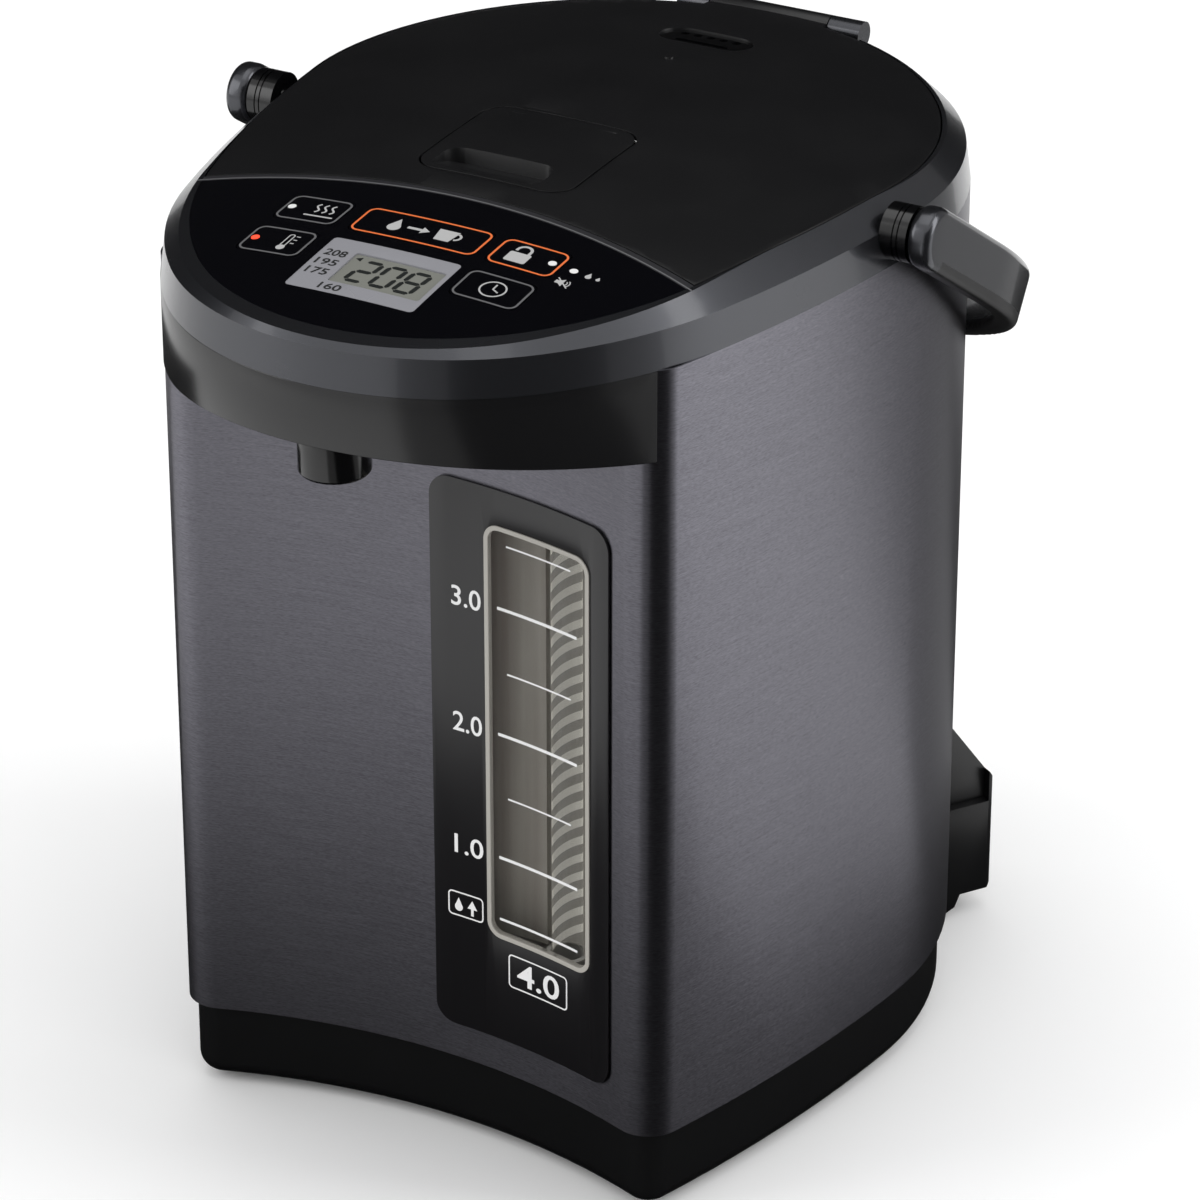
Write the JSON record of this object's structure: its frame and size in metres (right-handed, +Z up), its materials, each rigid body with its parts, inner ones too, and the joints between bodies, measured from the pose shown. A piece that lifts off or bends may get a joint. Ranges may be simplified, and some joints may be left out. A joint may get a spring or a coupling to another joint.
{
  "type": "electric thermo pot",
  "caption": "Countertop electric hot water pot with hinged latching lid, carrying handle, push keys, level gauge and an electric pump that pours from a front spout.",
  "frame": {"origin": "on the bench, under the axis of the water container", "axes": "+Z up, -Y towards the front with the spout, +X towards the side with the plug inlet, which is the pot's own left"},
  "size_m": [0.2318, 0.2899, 0.2951],
  "materials": {
    "brushed_shell": "brushed",
    "inner_steel": "satin",
    "pin_steel": "polished",
    "heater_alloy": "cast",
    "ring_plastic": "metallic smoke",
    "gloss_black": "gloss",
    "matte_black": "fine texture",
    "inner_plastic": "moulded",
    "gauge_black": "gloss",
    "gauge_frame": "satin",
    "clear_plastic": "clear",
    "gauge_stripes": "printed",
    "lens": "frosted",
    "circuit_board": "laminate",
    "display": "liquid crystal",
    "switch": "moulded",
    "silicone": "silicone",
    "foot_rubber": "rubber",
    "insulation": "felt",
    "cable": "sheath"
  },
  "bodies": {
    "root": {"base_housing": "matte_black", "beak_cover": "gloss_black", "beak_underside": "matte_black", "bottom_cover": "matte_black", "bottom_screws": "pin_steel", "container_seal": "silicone", "container_stand": "inner_steel", "control_board": "circuit_board", "control_panel": "gloss_black", "control_tray": "inner_plastic", "gauge_backing": "gauge_stripes", "gauge_feed_pipe": "silicone", "gauge_panel": "gauge_black", "gauge_rim": "gauge_frame", "gauge_tube": "clear_plastic", "gauge_tube_seals": "silicone", "gauge_window": "clear_plastic", "handle_bushes": "gloss_black", "handle_pins": "pin_steel", "heater_plate": "heater_alloy", "hinge_pin": "pin_steel", "inner_container": "inner_steel", "insulation_wrap": "insulation", "key_switches": "switch", "lcd_bezel": "gloss_black", "lcd_module": "display", "lcd_window": "clear_plastic", "led_lenses": "lens", "outer_shell": "brushed_shell", "plug_receptacle": "matte_black", "power_board": "circuit_board", "pump_housing": "inner_plastic", "pump_inlet_pipe": "silicone", "pump_motor": "inner_steel", "receptacle_pins": "pin_steel", "riser_pipe": "silicone", "rubber_feet": "foot_rubber", "shoulder_deck": "inner_plastic", "spout_nozzle": "matte_black", "spout_pipe": "silicone", "thermostat": "heater_alloy", "top_ring": "ring_plastic", "wiring_harness": "cable"},
    "lid": {"lid_cover": "matte_black", "lid_base": "inner_plastic", "inner_lid": "inner_steel", "lid_gasket": "silicone", "steam_vent_cap": "matte_black", "lever_pin": "pin_steel"},
    "lever": {"lid_lever": "matte_black"},
    "latch": {"latch_hook": "matte_black"},
    "handle": {"handle_shell": "gloss_black", "handle_underside": "matte_black"},
    "key_reboil": {"key_reboil": "gloss_black"},
    "key_temperature": {"key_temperature": "gloss_black"},
    "key_dispense": {"key_dispense": "gloss_black"},
    "key_unlock": {"key_unlock": "gloss_black"},
    "key_timer": {"key_timer": "gloss_black"},
    "rotor": {"motor_rotor": "inner_steel"},
    "impeller": {"pump_impeller": "inner_plastic"}
  },
  "joints": [
    {"name": "lid_hinge", "type": "hinge", "parent": "root", "child": "lid", "pos_m": [0, 0.1, 0.284], "axis": [-1, 0, 0], "range_deg": [0, 95]},
    {"name": "lever_pivot", "type": "hinge", "parent": "lid", "child": "lever", "pos_m": [0, -0.028, 0.2931], "axis": [-1, 0, 0], "range_deg": [0, 25], "stiffness_Nm_per_rad": 0.05, "springref_deg": -17.19},
    {"name": "latch_slide", "type": "slide", "parent": "lid", "child": "latch", "axis": [0, 1, 0], "range_m": [0, 0.0045]},
    {"name": "handle_swing", "type": "hinge", "parent": "root", "child": "handle", "pos_m": [0, -0.0193, 0.2792], "axis": [1, 0, 0], "range_deg": [0, 145]},
    {"name": "key_reboil_press", "type": "slide", "parent": "root", "child": "key_reboil", "axis": [0, 0, -1], "range_m": [0, 0.0006], "stiffness_N_per_m": 400, "springref_m": -0.0005},
    {"name": "key_temperature_press", "type": "slide", "parent": "root", "child": "key_temperature", "axis": [0, 0, -1], "range_m": [0, 0.0006], "stiffness_N_per_m": 400, "springref_m": -0.0005},
    {"name": "key_dispense_press", "type": "slide", "parent": "root", "child": "key_dispense", "axis": [0, 0, -1], "range_m": [0, 0.0006], "stiffness_N_per_m": 400, "springref_m": -0.0005},
    {"name": "key_unlock_press", "type": "slide", "parent": "root", "child": "key_unlock", "axis": [0, 0, -1], "range_m": [0, 0.0006], "stiffness_N_per_m": 400, "springref_m": -0.0005},
    {"name": "key_timer_press", "type": "slide", "parent": "root", "child": "key_timer", "axis": [0, 0, -1], "range_m": [0, 0.0006], "stiffness_N_per_m": 400, "springref_m": -0.0005},
    {"name": "rotor_spin", "type": "hinge", "parent": "root", "child": "rotor", "pos_m": [0.024, -0.062, 0.01], "axis": [0, 0, 1], "continuous": true},
    {"name": "impeller_spin", "type": "hinge", "parent": "root", "child": "impeller", "pos_m": [0.024, -0.062, 0.03], "axis": [0, 0, 1], "continuous": true}
  ],
  "couplings": [
    {"joint": "latch_slide", "follows": "lever_pivot", "m_per_rad": 0.0103},
    {"joint": "impeller_spin", "follows": "rotor_spin", "ratio": 1}
  ]
}
